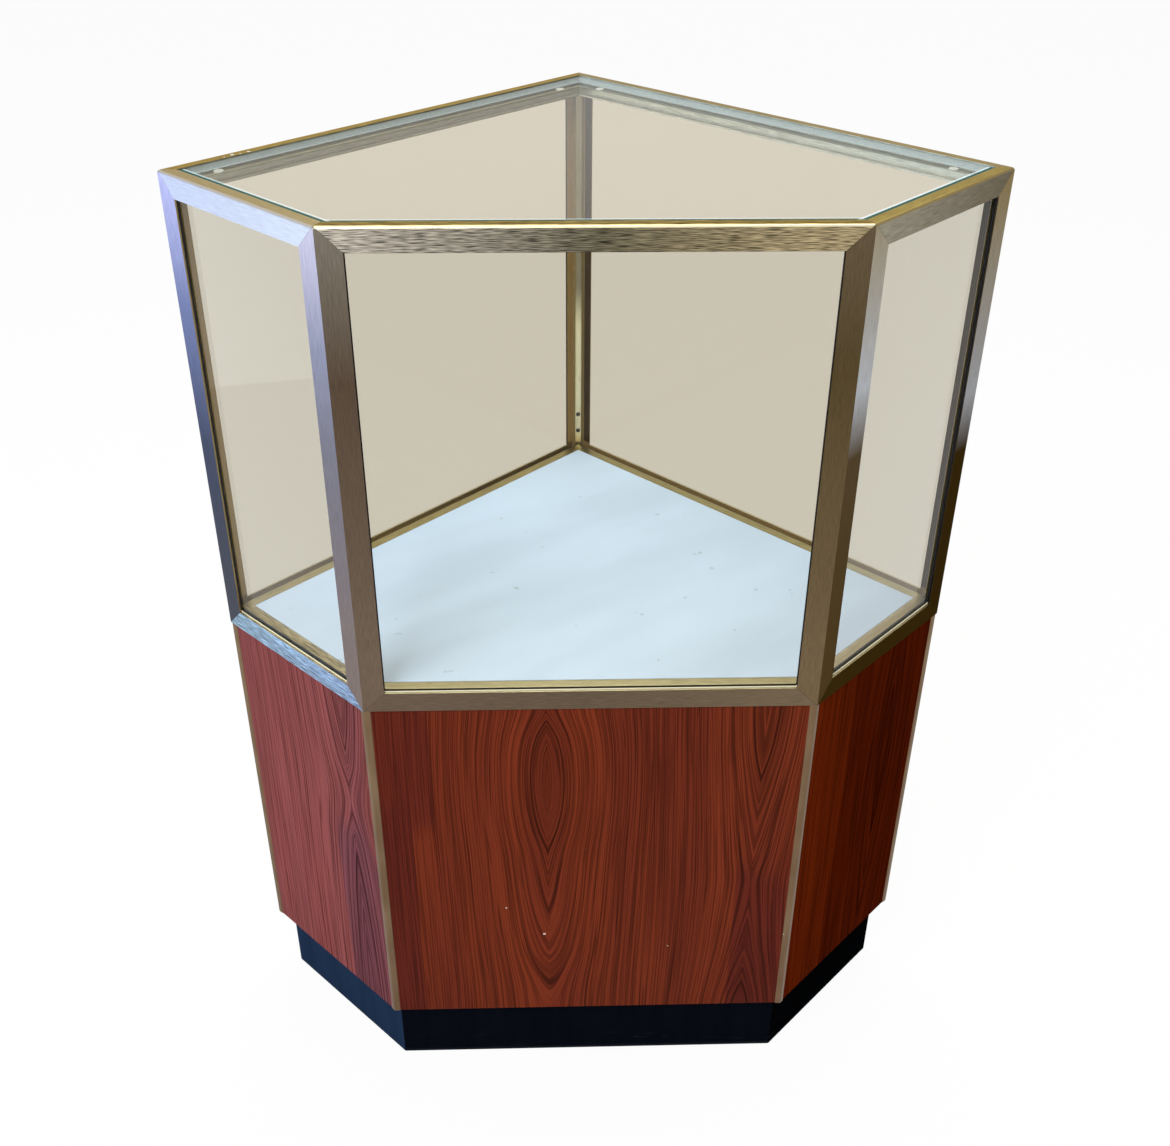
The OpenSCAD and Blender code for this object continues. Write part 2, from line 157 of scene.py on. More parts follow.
class Finish:
    """A material made of nodes, with the few patterns that this case's finishes share."""

    def __init__(self, name):
        self.material = bpy.data.materials.new(name)
        self.material.use_nodes = True
        self.tree = self.material.node_tree
        self.tree.nodes.clear()
        self.point = self.add("ShaderNodeTexCoord", output="Object")
        self.facing = self.add("ShaderNodeNewGeometry", output="True Normal")

    def add(self, kind, settings=None, inputs=None, output=0):
        """Adds a node: its settings first, then the values or links of its sockets."""
        node = self.tree.nodes.new(kind)
        for name, setting in (settings or {}).items():
            if name == "stops":
                self.set_stops(node.color_ramp, setting)
            else:
                setattr(node, name, setting)
        for name, given in (inputs or {}).items():
            if isinstance(given, Value):
                self.tree.links.new(given.socket, node.inputs[name])
            else:
                node.inputs[name].default_value = given
        return Value(self, node.outputs[output]) if node.outputs else None

    @staticmethod
    def set_stops(ramp, stops):
        """Stops of a ramp: (place, colour) pairs."""
        while len(ramp.elements) < len(stops):
            ramp.elements.new(0.5)
        for element, (place, colour) in zip(ramp.elements, stops):
            element.position = place
            element.color = (*colour, 1.0)

    def vector(self, operation, first, second=(0.0, 0.0, 0.0)):
        return self.add("ShaderNodeVectorMath", {"operation": operation}, {0: first, 1: second})

    def scaled(self, vector, factor):
        return self.add("ShaderNodeVectorMath", {"operation": "SCALE"}, {0: vector, "Scale": factor})

    def dot(self, vector, axis):
        settings = {"operation": "DOT_PRODUCT"}
        return self.add("ShaderNodeVectorMath", settings, {0: vector, 1: axis}, output="Value")

    def stretched(self, axis, along, across):
        """The object's point, scaled by one number along an axis and by another across it."""
        pull = self.scaled(axis, self.dot(self.point, axis) * (along - across))
        return self.vector("ADD", self.scaled(self.point, across), pull)

    def noise(self, vector, scale=1.0, detail=2.0, rough=0.5):
        sockets = {"Vector": vector, "Scale": scale, "Detail": detail, "Roughness": rough}
        return self.add("ShaderNodeTexNoise", None, sockets)

    def step(self, value, start, end):
        """0 before start, 1 after end, and smooth between them. Start may be above end."""
        sockets = {"Value": value, "From Min": start, "From Max": end}
        return self.add("ShaderNodeMapRange", {"interpolation_type": "SMOOTHSTEP"}, sockets)

    def shade(self, value, stops, smooth="LINEAR"):
        """A colour read from (place, colour) stops."""
        ramp = self.add("ShaderNodeValToRGB", {"stops": stops}, {"Fac": value})
        ramp.socket.node.color_ramp.interpolation = smooth
        return ramp

    def ramp(self, value, stops, smooth="LINEAR"):
        """A grey level read from (place, level) stops."""
        return self.shade(value, [(place, (level, level, level)) for place, level in stops], smooth)

    def mix(self, share, first, second):
        """Colour between first and second."""
        first = first if isinstance(first, Value) else (*first, 1.0)
        second = second if isinstance(second, Value) else (*second, 1.0)
        settings = {"data_type": "RGBA"}
        return self.add("ShaderNodeMix", settings, {0: share, 6: first, 7: second}, output=2)

    def speckled(self, share, colour, darkest, palest):
        """A colour that varies between two multiples of itself."""
        return self.mix(share, [c * darkest for c in colour], [c * palest for c in colour])

    def spot(self, place, radius, wobble):
        """1 inside a ragged spot round a point, 0 outside."""
        settings = {"operation": "DISTANCE"}
        away = self.add("ShaderNodeVectorMath", settings, {0: self.point, 1: place}, output="Value")
        ragged = away + (self.noise(self.point, 1.2 / radius, 2) - 0.5) * (wobble * radius * 2)
        return self.step(ragged, radius, radius * 0.75)

    def bump(self, height, depth, strength=1.0):
        sockets = {"Height": height, "Distance": depth, "Strength": strength}
        return self.add("ShaderNodeBump", None, sockets, output="Normal")

    def plain(self, kind, colour, **sockets):
        """A shader of one plain colour."""
        return self.add("ShaderNode" + kind, None, {"Color": (*colour, 1.0), **sockets})

    def principled(self, **sockets):
        names = {name.replace("_", " ").title().replace("Ior", "IOR"): v for name, v in sockets.items()}
        return self.add("ShaderNodeBsdfPrincipled", None, names)

    def blend(self, share, first, second):
        return self.add("ShaderNodeMixShader", None, {0: share, 1: first, 2: second})

    def done(self, shader):
        self.add("ShaderNodeOutputMaterial", None, {"Surface": shader})
        return self.material


def dress(name, material):
    """Gives a CAD node its finish."""
    slots = NODES[name].data.materials
    slots.clear()
    slots.append(material)


def soften(name, width, segments=2):
    """Rounds the sharp edges of a CAD node by width."""
    node = NODES[name]
    weld = node.modifiers.new("weld", "WELD")
    weld.merge_threshold = 1e-6
    bevel = node.modifiers.new("round", "BEVEL")
    bevel.width = width
    bevel.segments = segments
    bevel.limit_method = "ANGLE"
    bevel.angle_limit = math.radians(30)
    bevel.use_clamp_overlap = True
    level = node.modifiers.new("level", "WEIGHTED_NORMAL")
    level.weight = 100
    level.keep_sharp = False


# Metal finishes -------------------------------------------------------------

UP = (0.0, 0.0, 1.0)
LEFT_OUT = (-math.sqrt(0.5), -math.sqrt(0.5), 0.0)
RIGHT_OUT = (math.sqrt(0.5), -math.sqrt(0.5), 0.0)
REAR_LEFT_OUT = (-math.sqrt(0.5), math.sqrt(0.5), 0.0)
REAR_RIGHT_OUT = (math.sqrt(0.5), math.sqrt(0.5), 0.0)


def champagne(name, axis, ends, walls, ledge, shelf, streaks, rim=None, scuffs=()):
    """Champagne anodised aluminium, brushed along one axis of the extrusion.

    The tone changes along the axis and with the way a face is turned: painted reflections and shade
    of one metal. walls holds (direction, colour stops) pairs, the first for all faces that no other
    pair names; ends are the places along the axis of stops 0 and 1. ledge is the colour of the outer
    ledge and shelf of the sunk shelf behind it, both with painted light in them. streaks is the
    strength of the brushed dashes. rim is the colour of an outer edge that is rounded into the ledge,
    a painted highlight, and scuffs holds (place, radius) of pale spots.
    """
    f = Finish(name)
    share = (f.dot(f.point, axis) - ends[0]) / (ends[1] - ends[0])
    dashes = f.noise(f.stretched(axis, 70, 1700), detail=1, rough=0.6)
    fine = f.noise(f.stretched(axis, 25, 3800), detail=1)
    drawn = f.noise(f.stretched(axis, 1.5, 420), detail=3, rough=0.7)
    cloud = f.noise(f.point, 9, 2)
    rise = f.dot(f.facing, UP)
    up = f.step(rise, 0.35, 0.9)
    height = f.dot(f.point, UP)
    under_ledge = f.step(height, total_h - 2 * MM, total_h - 4 * MM)
    in_upper_half = f.step(height, frame_z + 0.2, frame_z + 0.3)
    sunk = under_ledge * in_upper_half
    # Colour by height and by the way a face is turned: painted reflections and shade.
    colour = f.shade(share, walls[0][1])
    for direction, stops in walls[1:]:
        turned_so = f.step(f.dot(f.facing, direction), 0.8, 0.98)
        colour = f.mix(turned_so, colour, f.shade(share, stops))
    lines = (f.step(drawn, 0.35, 0.65) - 0.5) * sunk
    # Upward faces: the ledge and shelf colours, with painted light in them.
    colour = f.mix(up, colour, f.scaled(f.mix(sunk, ledge, shelf), 1 + lines * 0.9))
    dashed = (f.step(dashes, 0.32, 0.68) - 0.5) * (2 * streaks)
    tone = 1 + dashed + (fine - 0.5) * 0.3 + (cloud - 0.5) * 0.15
    colour = f.scaled(colour, tone)
    # Painted highlight on the rounded outer edge.
    if rim:
        colour = f.mix(f.step(rise, 0.25, 0.45) * f.step(rise, 0.95, 0.8), colour, rim)
    for place, size in scuffs:
        colour = f.mix(f.spot(place, size, 1.2), colour, (0.85, 0.85, 0.80))
    skin = f.principled(
        base_color=colour,
        metallic=1.0,
        roughness=0.27 + 0.2 * fine,
        specular_tint=(0.60, 0.52, 0.42, 1.0),
        normal=f.bump(dashes + fine, 0.05 * MM, 0.5),
    )
    return f.done(skin)


def bronze_trim():
    """Greyish gold anodised trim with fine upright brushing, nicks and rubbed spots."""
    f = Finish("bronze_trim")
    height = f.dot(f.point, UP)
    drawn = f.noise(f.stretched(UP, 20, 2600), detail=2)
    cloud = f.noise(f.stretched(UP, 18, 60), detail=3)
    # Paler in random spots and towards the top, darker towards the bottom.
    paler = f.step(cloud, 0.3, 0.75) * 0.6 + f.step(height, 0.1, 0.45) * 0.4
    colour = f.mix(paler, (0.140, 0.078, 0.038), (0.225, 0.150, 0.085))
    nicks = f.step(f.noise(f.point, 190, 3, 0.65), 0.72, 0.77) * f.step(f.noise(f.point, 14, 1), 0.52, 0.6)
    colour = f.mix(nicks, colour, (0.60, 0.55, 0.47))
    skin = f.principled(
        base_color=f.scaled(colour, 0.86 + 0.28 * drawn),
        metallic=0.85,
        roughness=0.38 + 0.14 * drawn,
        normal=f.bump(drawn - 2 * nicks, 0.06 * MM, 0.6),
    )
    return f.done(skin)


def plain_metal(name, colour, rough):
    """Metal with fine turning marks."""
    f = Finish(name)
    marks = f.noise(f.point, 900, 3)
    skin = f.principled(
        base_color=f.speckled(marks, colour, 0.8, 1.2),
        metallic=1.0,
        roughness=rough + 0.1 * marks,
        normal=f.bump(marks, 0.04 * MM),
    )
    return f.done(skin)


# Glass and plastic finishes -------------------------------------------------


def clear_glass(name, across, tint, cut, far, gleam=0.6, haze=0.003, arris=()):
    """Float glass: light comes through tinted, it mirrors more at a slant, and a film of dust lies on it.

    across is the direction through the sheet. cut is the colour of its cut edges at the front and the
    sides, and far of those at the rear, which is painted light that they pick up through the sheet.
    gleam is the strength of the mirror at a slant and haze that of the dust. arris holds (inward
    direction, place, pale share) of edges where a ground arris is painted: a dark band of painted shade
    along the edge and a pale painted highlight beside it.
    """
    f = Finish(name)
    slant = f.add("ShaderNodeLayerWeight", None, {"Blend": 0.5}, output="Facing")
    mirror = 0.003 + gleam * slant**4
    through = f.plain("BsdfTransparent", tint)
    gloss = f.plain("BsdfGlossy", (1.0, 1.0, 1.0), Roughness=0.03)
    sheet = f.blend(mirror, through, gloss)
    dust = f.noise(f.point, 9, 4, 0.6)
    film = f.plain("BsdfDiffuse", (0.85, 0.86, 0.84))
    sheet = f.blend(haze * (0.4 + 1.2 * dust), sheet, film)
    # Painted bands of a ground arris: dark painted shade next to the edge, a pale painted highlight beside
    # it.
    for inward, place, share in arris:
        away = f.dot(f.point, inward) - place
        pale = f.plain("BsdfDiffuse", (0.62, 0.74, 0.80))
        dark = f.plain("BsdfDiffuse", cut)
        sheet = f.blend(f.step(away, 5.6 * MM, 4.8 * MM) * share, sheet, pale)
        sheet = f.blend(f.step(away, 3.1 * MM, 2.6 * MM) * 0.95, sheet, dark)
    edge = f.step(abs(f.dot(f.facing, across)), 0.92, 0.78)
    grind = f.noise(f.point, 420, 2)
    # The colour of the rear edges is painted light that they pick up through the sheet.
    near_edge = f.speckled(grind, cut, 0.6, 1.5)
    far_edge = f.speckled(grind, far, 0.75, 1.25)
    at_rear = f.step(f.dot(f.point, (0.0, 1.0, 0.0)), side_y - 2 * MM, side_y + 4 * MM)
    ground = f.principled(
        base_color=f.mix(at_rear, near_edge, far_edge),
        roughness=0.12 + 0.2 * grind,
        specular_ior_level=0.2,
    )
    return f.done(f.blend(edge * 0.9, sheet, ground))


def clear_bumper():
    """Milky clear soft plastic."""
    f = Finish("clear_bumper")
    milk = f.noise(f.point, 500, 2)
    body = f.principled(base_color=f.mix(milk, (0.52, 0.54, 0.52), (0.66, 0.68, 0.66)), roughness=0.25)
    through = f.plain("BsdfTransparent", (0.92, 0.94, 0.93))
    return f.done(f.blend(0.45 + 0.3 * milk, through, body))


def soft_black(name, rough, inward=None, glued=(0.02, 0.02, 0.02)):
    """Matt black rubber or foam with a fine open grain.

    A tape's glued side, turned inwards, has the colour glued, which is a painted reflection of the metal
    on the rear left and painted shade on the rear right, and turns golden at its foot, a painted
    reflection too. On the outside its foot is pale: a painted highlight of light from the deck, with dust.
    """
    f = Finish(name)
    grain = f.noise(f.point, 1500, 2)
    colour = f.mix(grain, (0.006, 0.007, 0.010), (0.022, 0.023, 0.028))
    dust_and_highlight_ends, dust_and_highlight_full = frame_z + 23.4 * MM, frame_z + 22.6 * MM
    gold_ends, gold_full = frame_z + 26 * MM, frame_z + 24 * MM
    if inward:
        height = f.dot(f.point, UP)
        foot = f.step(height, dust_and_highlight_ends, dust_and_highlight_full)
        # Gold at the foot of the glued side: painted reflection.
        back = f.mix(f.step(height, gold_ends, gold_full), glued, (0.36, 0.255, 0.105))
        colour = f.mix(f.step(f.dot(f.facing, inward), 0.6, 0.9), colour, f.scaled(back, 0.8 + 0.4 * grain))
        # Pale foot on the outside: painted highlight of light from the deck, with dust.
        outside = f.step(f.dot(f.facing, inward), 0.6, 0.3)
        colour = f.mix(foot * outside, colour, (0.66, 0.62, 0.46))
    skin = f.principled(
        base_color=colour,
        roughness=rough,
        specular_ior_level=0.1,
        normal=f.bump(grain, 0.1 * MM),
    )
    return f.done(skin)


# Wood and board finishes ----------------------------------------------------

SPAN = 0.06  # ring radius that the right end of the ring ramp stands for
REACH = 0.05  # distance from a figure's axis at which the heart's depth counts e times less
HEART, PLAIN = 0.38, 0.5  # levels of the ring ramp

# Growth rings of the figure: radius in millimetres, darkness, half width in millimetres
RINGS = [
    (5.0, 0.20, 1.2),
    (10.5, 0.15, 1.0),
    (17.0, 1.0, 1.4),
    (22.5, 0.15, 1.2),
    (27.5, 0.60, 1.3),
    (36.0, 0.60, 1.3),
    (45.5, 0.45, 1.3),
]


def ring_stops():
    """Stops of the ramp over the ring radius.

    The level rises from the darker heart to plain wood, dips in each ring and is raised behind it.
    """
    stops = [(0.0, HEART)]
    for radius, dark, half in RINGS:
        around = HEART + (PLAIN - HEART) * radius / RINGS[-1][0]
        before, inside, behind = around + 0.05 * dark, around - 0.4 * dark, around + 0.15 * dark
        for r, grey in ((-half, before), (0.0, inside), (half, behind)):
            stops.append(((radius + r) * MM / SPAN, grey))
    return stops + [(1.0, PLAIN)]


def cherry(name, corner, figures, base, dusk, sheen, strips, chips):
    """Cherry laminate with cathedral figures, upright grain that bends round them, and darker strips.

    A figure is where its axis stands along the side, and how deep the heart of the tree lies under
    the face at some heights. The ring radius at a point is d + h e^(-d / reach), with d the distance
    from the axis and h that depth; with two figures the smaller radius counts. strips holds (first
    s, last s, lowest z, highest z, strength) of the darker strips, in the colour dusk, and chips
    (s, z, radius) of pale chips.
    """
    f = Finish(name)
    start = float(CORNERS[corner] @ ALONG[corner])
    s = f.dot(f.point, level(ALONG[corner])) - start
    z = f.dot(f.point, UP)
    share = panel_share(z)
    sway = f.noise(f.stretched(UP, 4.5, 16), detail=2) - 0.5
    radius = None
    for axis_s, hearts in figures:
        stops = [(panel_share(height), depth / SPAN) for height, depth in hearts]
        deep = f.ramp(share, stops, "B_SPLINE") * SPAN
        beside = abs(s - axis_s)
        ring = beside + deep * (beside / -REACH).exponent()
        radius = ring if radius is None else radius.least(ring)
    radius = radius + sway * 0.003
    figure = f.ramp(radius / SPAN, ring_stops())
    bent = f.add("ShaderNodeCombineXYZ", None, {"X": radius * 340, "Y": z * 1.6, "Z": s * 5})
    grain = f.noise(bent, detail=1, rough=0.6)
    bent_fine = f.add("ShaderNodeCombineXYZ", None, {"X": radius * 880, "Y": z * 5, "Z": s * 9})
    fine = f.noise(bent_fine, detail=1, rough=0.6)
    broad = f.noise(f.stretched(UP, 1.3, 22), detail=2)
    pores = f.noise(f.stretched(UP, 60, 2600), detail=2)
    threads = f.step(abs(grain - 0.5), 0.040, 0.012)
    lines = f.step(fine, 0.46, 0.58)
    colour = f.mix(f.step(broad, 0.35, 0.70) * 0.45, base, dusk)
    for first, last, low_z, high_z, depth in strips:
        edge = f.step(s + sway * 0.004, first - 0.002, first) * f.step(s + sway * 0.01, last + 0.002, last)
        reach = f.step(z + sway * 0.2, low_z - 0.05, low_z) * f.step(z + sway * 0.2, high_z + 0.05, high_z)
        colour = f.mix(edge * reach * depth, colour, dusk)
    tone = (0.15 + 1.70 * figure) * (1.12 - 0.48 * threads) * (1.22 - 0.46 * lines) * (0.82 + 0.36 * pores)
    colour = f.scaled(colour, tone)
    for chip_s, chip_z, size in chips:
        place = (*plan_point(corner, chip_s, 2 * MM), chip_z)
        colour = f.mix(f.spot(place, size, 0.9), colour, (0.62, 0.50, 0.42))
    skin = f.principled(
        base_color=colour,
        roughness=0.36 + 0.10 * pores,
        normal=f.bump(pores - lines * 0.6, 0.03 * MM, 0.5),
        specular_ior_level=sheen,
    )
    return f.done(skin)


def pale_deck():
    """Pale blue-white laminate with faint diagonal bands of painted light and shade, fine dust and a few
    small marks.
    """
    f = Finish("pale_deck")
    cloud = f.noise(f.stretched((0.8, 0.6, 0.0), 2.5, 8), detail=3, rough=0.6)
    dust = f.noise(f.point, 260, 3)
    marks = f.step(f.noise(f.point, 95, 1), 0.765, 0.79)
    # Paler and bluer towards the back: painted light against the shade of the tinted rear panes.
    back = f.step(f.dot(f.point, (0.0, 1.0, 0.0)), -0.25, 0.2)
    colour = f.mix(back, (0.45, 0.535, 0.66), (0.60, 0.76, 0.98))
    # Faint diagonal bands of painted light and shade.
    colour = f.scaled(colour, 0.93 + 0.14 * f.step(cloud, 0.3, 0.7))
    colour = f.mix(f.step(dust, 0.62, 0.75) * 0.2, colour, (0.60, 0.70, 0.78))
    colour = f.mix(marks * 0.45, colour, (0.25, 0.30, 0.33))
    skin = f.principled(
        base_color=colour,
        roughness=0.42 + 0.16 * dust,
        normal=f.bump(dust, 0.03 * MM, 0.4),
    )
    return f.done(skin)


def black_kick(name, colour):
    """Black laminate with a blue cast and upright streaks of painted sheen, scuffed pale near the floor."""
    f = Finish("black_kick_" + name)
    z = f.dot(f.point, UP)
    grain = f.noise(f.point, 500, 3)
    scuff = f.noise(f.stretched(UP, 420, 30), detail=3, rough=0.6)
    # Painted sheen: upright streaks of lighter and darker tone.
    sheen = f.noise(f.stretched(UP, 6, 70), detail=2)
    worn = f.step(scuff, 0.62, 0.76) * f.step(z, 0.05, 0.004) * 0.25
    dust = f.step(z, 0.005, 0.0) * 0.25
    tone = f.scaled(f.speckled(grain, colour, 0.8, 1.2), 0.7 + 0.6 * sheen)
    skin = f.principled(
        base_color=f.mix((worn + dust).least(0.4), tone, (0.055, 0.065, 0.08)),
        roughness=0.30 + 0.25 * grain,
        specular_ior_level=0.0,
    )
    return f.done(skin)


def bare_wood(name, pale, dark, along):
    """Bare sawn wood or board: streaks along one axis and a rough face."""
    f = Finish(name)
    streaks = f.noise(f.stretched(along, 8, 240), detail=3)
    chaff = f.noise(f.point, 700, 3)
    colour = f.scaled(f.mix(streaks, dark, pale), 0.85 + 0.3 * chaff)
    skin = f.principled(base_color=colour, roughness=0.8, normal=f.bump(chaff + streaks, 0.2 * MM))
    return f.done(skin)


# Small pieces as computed surfaces ------------------------------------------


def wrapped_shell(rows):
    """Vertices and faces of a closed surface: rows of points, each row a ring, with a fan at both ends.

    Vertex (j, k) is point k of row j; quads join neighbouring rows, and each end fan meets in the
    mean of its row.
    """
    count, around = rows.shape[:2]
    index = np.arange(count * around).reshape(count, around)
    beside = np.roll(index, -1, axis=1)
    quads = np.stack([index[:-1], beside[:-1], beside[1:], index[1:]], axis=-1).reshape(-1, 4)
    first, last = count * around, count * around + 1
    fan_first = np.stack([beside[0], index[0], np.full(around, first)], axis=-1)
    fan_last = np.stack([index[-1], beside[-1], np.full(around, last)], axis=-1)
    points = np.concatenate([rows.reshape(-1, 3), rows[0].mean(0)[None], rows[-1].mean(0)[None]])
    return points, [*quads.tolist(), *fan_first.tolist(), *fan_last.tolist()]


def outward(points, faces):
    """The faces, all turned round if they enclose a negative volume."""
    volume = 0.0
    for face in faces:
        a = points[face[0]]
        for b, c in zip(face[1:-1], face[2:]):
            volume += a @ np.cross(points[b], points[c])
    return faces if volume > 0 else [face[::-1] for face in faces]


def piece(name, shells, material, smooth_angle=35):
    """One mesh object from closed shells, each a (points, faces) pair, in place at the origin."""
    points = []
    faces = []
    for shell_points, shell_faces in shells:
        base = sum(len(p) for p in points)
        faces += [[base + i for i in face] for face in outward(shell_points, shell_faces)]
        points.append(shell_points)
    mesh = bpy.data.meshes.new(name)
    mesh.from_pydata(np.concatenate(points).tolist(), [], faces)
    mesh.materials.append(material)
    mesh.update()
    mesh.set_sharp_from_angle(angle=math.radians(smooth_angle))
    return placed(name, mesh)


def trim_outline(corner, back, face, width):
    """Plan outline of a corner trim: two convex legs that meet in a rounded nose.

    Along each leg x runs from 0 at the nose to 1 at the free edge, and the depth of the face is
    face + crown x^2 + drop x^10 + nose (1 - x / reach)^2, the last term only for x under reach. The
    outline goes along one leg, round the nose, along the other and back along the panels.
    """
    prior = (corner - 1) % 5
    turn = np.arccos(np.clip(ALONG[prior] @ ALONG[corner], -1, 1))
    slope = math.tan(turn / 2)
    crown, nose, reach = 0.22 * MM, 0.30 * MM, 0.16
    drop = back - face - crown
    x = np.concatenate([np.linspace(1, 0.9, 6), np.linspace(0.8, 0.2, 7), np.linspace(reach, 0.0, 8)])
    depth = face + crown * x**2 + drop * x**10 + nose * np.clip(1 - x / reach, 0, 1) ** 2
    s = depth * slope + width * x
    ahead = CORNERS[corner] + s[:, None] * ALONG[corner] + depth[:, None] * INWARD[corner]
    behind = CORNERS[corner] - s[:, None] * ALONG[prior] + depth[:, None] * INWARD[prior]
    inner = CORNERS[corner] + back * slope * ALONG[corner] + back * INWARD[corner]
    return np.concatenate([ahead, behind[-2::-1], inner[None]])


def corner_trim(corner, material):
    """Corner trim: its outline carried up the panel, drawn back to the panel in a round at both ends."""
    name = "corner_trim_" + CORNER_NAMES[corner]
    back, face, width, thinnest = 2 * MM, 0.8 * MM, 5.5 * MM, 0.02 * MM
    round_end = 1.0 * MM
    tip_share = 0.25  # of the thickness, at the very end
    outline = trim_outline(corner, back, face, width)
    root = trim_outline(corner, back, back - thinnest, width)
    bottom, top = (c.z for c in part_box(name))
    lift = round_end * np.array([0, 0.06, 0.2, 0.45, 0.75, 1.0])
    heights = np.concatenate([bottom + lift, top - lift[::-1]])
    near_end = np.minimum(heights - bottom, top - heights)
    full = np.sqrt(1 - (1 - np.clip(near_end / round_end, 0, 1)) ** 2)
    full = tip_share + (1 - tip_share) * full
    plan = root[None] + (outline - root)[None] * full[:, None, None]
    z = np.broadcast_to(heights[:, None, None], (*plan.shape[:2], 1))
    made = piece(name + "_rounded", [wrapped_shell(np.concatenate([plan, z], axis=2))], material)
    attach(made, "showcase")
    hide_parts(name)


def turned(profile, place, axis, dent=None, around=48):
    """A profile of (radius, height) pairs turned round an axis, with an optional dent in the height.

    Point (j, k) is place + r_j (u cos t_k + v sin t_k) + (h_j - dent(x, y)) axis.
    """
    radius, rise = np.array(profile).T
    axis = np.array(axis, float)
    side = np.cross(axis, (0, 0, 1) if abs(axis[2]) < 0.9 else (1, 0, 0))
    side /= np.linalg.norm(side)
    other = np.cross(axis, side)
    turn = np.linspace(0, 2 * np.pi, around, endpoint=False)
    x = radius[:, None] * np.cos(turn)
    y = radius[:, None] * np.sin(turn)
    height = np.broadcast_to(rise[:, None], x.shape)
    if dent is not None:
        height = height - dent(x, y, height)
    rows = np.array(place) + x[..., None] * side + y[..., None] * other + height[..., None] * axis
    return wrapped_shell(rows)


def cross_recess(x, y, height):
    """Depth of a cross-shaped recess with sloping walls in the top of a screw head."""
    arm = 1.45 * MM
    half = 0.36 * MM
    slope = 0.16 * MM

    def bar(u, v):
        return np.clip((half - abs(u)) / slope, 0, 1) * np.clip((arm - abs(v)) / (3 * slope), 0, 1)

    on_top = height > 0.5 * MM
    return 0.7 * MM * np.maximum(bar(x, y), bar(y, x)) * on_top


def key_screws(material):
    """Two pan-head screws through the web of each post, head inside the case."""
    shells = []
    head_r, head_h, shank_r, tip_r, length = 2.5 * MM, 1.4 * MM, 1.3 * MM, 0.5 * MM, 4.9 * MM
    wall, chamber_square, chamber_obtuse, web = 2 * MM, 5 * MM, 3 * MM, 1.5 * MM
    dome = np.linspace(head_r, 0.05 * MM, 22)
    crown = head_h * (1 - 0.42 * (dome / head_r) ** 3.2)
    shank = [(tip_r, -length), (shank_r, 0.7 * MM - length), (shank_r, 0.0)]
    flat = [(head_r - 0.2 * MM, 0.0), (head_r - 0.04 * MM, 0.12 * MM), (head_r, 0.5 * MM)]
    profile = [*shank, *flat, *zip(dome, crown)]
    lowest, highest = (c.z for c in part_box("key_screws"))
    for corner in range(5):
        prior = (corner - 1) % 5
        inward = ALONG[corner] - ALONG[prior]
        inward /= np.linalg.norm(inward)
        half = math.pi / 2 - math.acos(float(np.clip(ALONG[prior] @ ALONG[corner], -1, 1))) / 2
        chamber = chamber_square if half < math.radians(50) else chamber_obtuse
        away = wall / math.sin(half) + chamber + web
        for z in (lowest + head_r, highest - head_r):
            place = (*(CORNERS[corner] + away * inward), z)
            shells.append(turned(profile, place, level(inward), cross_recess, around=64))
    made = piece("key_screw_heads", shells, material, 40)
    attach(made, "showcase")
    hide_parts("key_screws")


def bumpers(material):
    """Round bumpers with soft rims on the support shelf, two on every side."""
    shells = []
    bottom, top = (c.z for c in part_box("glass_bumpers"))
    tall = top - bottom
    turn = np.linspace(0, np.pi / 2, 8)
    radius, rim = 4.5 * MM, 0.8 * MM
    profile = [(radius - 0.6 * MM, 0.0), (radius - 0.1 * MM, 0.0), (radius, 0.15 * tall)]
    profile += [(radius - rim + rim * math.cos(t), tall * (0.35 + 0.65 * math.sin(t))) for t in turn]
    profile += [(1.5 * MM, tall)]
    from_corner, from_face = 48 * MM, 18.25 * MM
    for side in range(5):
        for s in (from_corner, float(LENGTHS[side]) - from_corner):
            shells.append(turned(profile, (*plan_point(side, s, from_face), bottom), UP))
    made = piece("glass_bumper_pads", shells, material, 50)
    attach(made, "showcase")
    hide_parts("glass_bumpers")


# Dressing -------------------------------------------------------------------

# Figures of the laminate: place of the axis along the side, (height, depth of the heart) pairs
FIGURES = {
    "front": [
        (0.171, [(0.083, 0.049), (0.130, 0.0455), (0.172, 0.036), (0.228, 0.0275), (0.285, 0.0205),
                 (0.319, 0.017), (0.345, 0.0095), (0.375, 0.003), (0.410, 0.0), (0.445, 0.003),
                 (0.468, 0.009), (0.486, 0.0175), (0.5, 0.022)]),
        (0.381, [(0.083, 0.008), (0.12, 0.017), (0.17, 0.026), (0.26, 0.034), (0.30, 0.030),
                 (0.36, 0.024), (0.41, 0.017), (0.45, 0.010), (0.5, 0.004)]),
    ],
    "left": [
        (0.175, [(0.083, 0.0), (0.2, 0.006), (0.3115, 0.019), (0.365, 0.034), (0.419, 0.020),
                 (0.5, 0.004)]),
    ],
    "right": [(0.150, [(0.083, 0.030), (0.22, 0.018), (0.36, 0.008), (0.5, 0.024)])],
    "rear_right": [
        (0.150, [(0.083, 0.0), (0.2, 0.014), (0.33, 0.027), (0.5, 0.046)]),
        (0.395, [(0.083, 0.044), (0.24, 0.026), (0.36, 0.004), (0.43, 0.002), (0.5, 0.017)]),
    ],
    "rear_left": [
        (0.110, [(0.083, 0.040), (0.21, 0.020), (0.31, 0.003), (0.42, 0.012), (0.5, 0.030)]),
        (0.350, [(0.083, 0.018), (0.2, 0.006), (0.33, 0.017), (0.5, 0.036)]),
    ],
}


